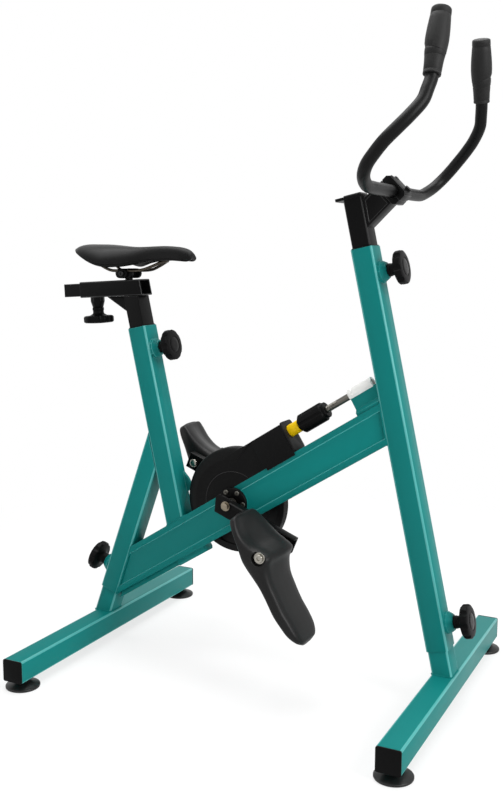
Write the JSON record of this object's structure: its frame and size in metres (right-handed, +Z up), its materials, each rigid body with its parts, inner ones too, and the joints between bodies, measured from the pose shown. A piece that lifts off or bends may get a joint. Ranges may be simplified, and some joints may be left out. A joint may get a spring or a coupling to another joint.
{
  "type": "pool exercise bike",
  "caption": "Steel exercise bike for use in a pool: leaning frame on foot bars, covered braked wheel on the crank, hanging foot-shaped pedals, sliding saddle, bullhorn handlebar.",
  "frame": {"origin": "centre of the bounding box in plan, on the floor under the feet", "axes": "+Z up, +X forwards as the rider faces, +Y to the rider's left"},
  "size_m": [1.024, 0.755, 1.4025],
  "materials": {
    "teal_steel": "satin teal powder coat",
    "black_steel": "satin black powder coat",
    "black_plastic": "fine-grained black plastic",
    "charcoal_plastic": "charcoal moulded plastic",
    "steel": "bare stainless steel",
    "yellow_plastic": "yellow plastic",
    "white_plastic": "white plastic",
    "rubber": "soft black rubber"
  },
  "bodies": {
    "frame": {"main_rail": "teal_steel", "seat_tube": "teal_steel", "rear_leg": "teal_steel", "front_mast": "teal_steel", "mast_bush": "black_plastic", "seat_bush": "black_plastic", "bearing_housing_right": "black_steel", "bearing_housing_left": "black_steel", "wheel_cover": "black_plastic", "cover_end_plate": "charcoal_plastic", "adjuster_bracket": "teal_steel", "adjuster_sleeve": "white_plastic", "adjuster_rod": "steel"},
    "rear_base": {"rear_foot_bar": "teal_steel", "rear_cap_right": "black_plastic", "rear_cap_left": "black_plastic"},
    "front_base": {"front_foot_bar": "teal_steel", "front_cap_right": "black_plastic", "front_cap_left": "black_plastic"},
    "rear_foot_right": {"rear_foot_right": "rubber"},
    "rear_foot_left": {"rear_foot_left": "rubber"},
    "front_foot_right": {"front_foot_right": "rubber"},
    "front_foot_left": {"front_foot_left": "rubber"},
    "seat_post": {"seat_post": "black_steel", "saddle_slide": "black_steel"},
    "slide": {"slide_tube": "black_steel", "slide_tube_plug": "black_plastic"},
    "saddle": {"saddle_pad": "rubber", "saddle_shell": "black_plastic", "saddle_rails": "steel", "clamp_inner_right": "black_steel", "clamp_outer_right": "black_steel", "clamp_inner_left": "black_steel", "clamp_outer_left": "black_steel", "saddle_clamp_bolt": "steel"},
    "stem": {"handlebar_post": "black_steel", "stem_bracket": "black_steel", "bar_clamp_base": "black_steel", "bar_clamp_cap": "black_steel"},
    "handlebar": {"handlebar": "black_steel", "grip_right": "rubber", "grip_left": "rubber"},
    "crankset": {"crank_axle": "steel", "brake_wheel": "black_steel", "crank_right": "black_steel", "crank_left": "black_steel", "crank_bolt_right": "steel", "crank_bolt_left": "steel", "pedal_pin_right": "steel", "pedal_pin_left": "steel"},
    "pedal_right": {"pedal_right": "charcoal_plastic"},
    "pedal_left": {"pedal_left": "charcoal_plastic"},
    "mast_knob": {"mast_knob": "black_plastic"},
    "front_base_knob": {"front_base_knob": "black_plastic"},
    "rear_base_knob": {"rear_base_knob": "black_plastic"},
    "seat_height_knob": {"seat_height_knob": "black_plastic"},
    "saddle_slide_knob": {"saddle_slide_knob": "black_plastic"},
    "brake": {"brake_block": "charcoal_plastic", "push_tube": "yellow_plastic"},
    "brake_adjuster": {"brake_adjuster": "black_plastic"}
  },
  "joints": [
    {"name": "rear_base_slide", "type": "slide", "parent": "frame", "child": "rear_base", "axis": [-0.3371, 0, -0.9415], "range_m": [-0.04, 0.1]},
    {"name": "front_base_slide", "type": "slide", "parent": "frame", "child": "front_base", "axis": [0.2164, 0, -0.9763], "range_m": [-0.04, 0.1]},
    {"name": "rear_foot_right_turn", "type": "hinge", "parent": "rear_base", "child": "rear_foot_right", "pos_m": [-0.4069, -0.3395, 0.01], "axis": [0, 0, 1], "range_deg": [-720, 720]},
    {"name": "rear_foot_left_turn", "type": "hinge", "parent": "rear_base", "child": "rear_foot_left", "pos_m": [-0.4069, 0.3395, 0.01], "axis": [0, 0, 1], "range_deg": [-720, 720]},
    {"name": "front_foot_right_turn", "type": "hinge", "parent": "front_base", "child": "front_foot_right", "pos_m": [0.4551, -0.3395, 0.01], "axis": [0, 0, 1], "range_deg": [-720, 720]},
    {"name": "front_foot_left_turn", "type": "hinge", "parent": "front_base", "child": "front_foot_left", "pos_m": [0.4551, 0.3395, 0.01], "axis": [0, 0, 1], "range_deg": [-720, 720]},
    {"name": "seat_height", "type": "slide", "parent": "frame", "child": "seat_post", "axis": [-0.2147, 0, 0.9767], "range_m": [-0.03, 0.14]},
    {"name": "saddle_fore_aft", "type": "slide", "parent": "seat_post", "child": "slide", "axis": [0.9983, 0, 0.0576], "range_m": [-0.055, 0.02]},
    {"name": "saddle_tilt", "type": "hinge", "parent": "slide", "child": "saddle", "pos_m": [-0.33706, 0, 0.90806], "axis": [0, 1, 0], "range_deg": [-12, 6]},
    {"name": "handlebar_height", "type": "slide", "parent": "frame", "child": "stem", "axis": [-0.2164, 0, 0.9763], "range_m": [-0.02, 0.18]},
    {"name": "handlebar_tilt", "type": "hinge", "parent": "stem", "child": "handlebar", "pos_m": [0.31788, 0, 1.08155], "axis": [0, 1, 0], "range_deg": [-20, 20]},
    {"name": "crank_turn", "type": "hinge", "parent": "frame", "child": "crankset", "pos_m": [-0.0419, 0, 0.392], "axis": [0, 1, 0], "continuous": true},
    {"name": "pedal_right_turn", "type": "hinge", "parent": "crankset", "child": "pedal_right", "pos_m": [0.1113, 0, 0.33072], "axis": [0, 1, 0], "continuous": true},
    {"name": "pedal_left_turn", "type": "hinge", "parent": "crankset", "child": "pedal_left", "pos_m": [-0.1951, 0, 0.45328], "axis": [0, 1, 0], "continuous": true},
    {"name": "mast_knob_turn", "type": "hinge", "parent": "frame", "child": "mast_knob", "pos_m": [0.29068, 0, 0.91778], "axis": [0.9763, 0, 0.2164], "range_deg": [0, 1080]},
    {"name": "front_base_knob_turn", "type": "hinge", "parent": "frame", "child": "front_base_knob", "pos_m": [0.45366, 0, 0.18263], "axis": [0.9763, 0, 0.2164], "range_deg": [0, 1080]},
    {"name": "rear_base_knob_turn", "type": "hinge", "parent": "frame", "child": "rear_base_knob", "pos_m": [-0.39505, 0, 0.19024], "axis": [-0.9415, 0, 0.3371], "range_deg": [0, 1080]},
    {"name": "seat_height_knob_turn", "type": "hinge", "parent": "frame", "child": "seat_height_knob", "pos_m": [-0.26547, 0, 0.73334], "axis": [0.9767, 0, 0.2147], "range_deg": [0, 1080]},
    {"name": "saddle_slide_knob_turn", "type": "hinge", "parent": "seat_post", "child": "saddle_slide_knob", "pos_m": [-0.42786, 0, 0.84974], "axis": [0.0576, 0, -0.9983], "range_deg": [0, 1080]},
    {"name": "brake_push", "type": "slide", "parent": "frame", "child": "brake", "axis": [-0.8462, 0, -0.5329], "range_m": [0, 0.004]},
    {"name": "brake_adjuster_turn", "type": "hinge", "parent": "brake", "child": "brake_adjuster", "pos_m": [0.14258, 0, 0.59917], "axis": [-0.8462, 0, -0.5329], "range_deg": [0, 720]}
  ],
  "couplings": [
    {"joint": "brake_push", "follows": "brake_adjuster_turn", "m_per_rad": 0.00031831}
  ]
}
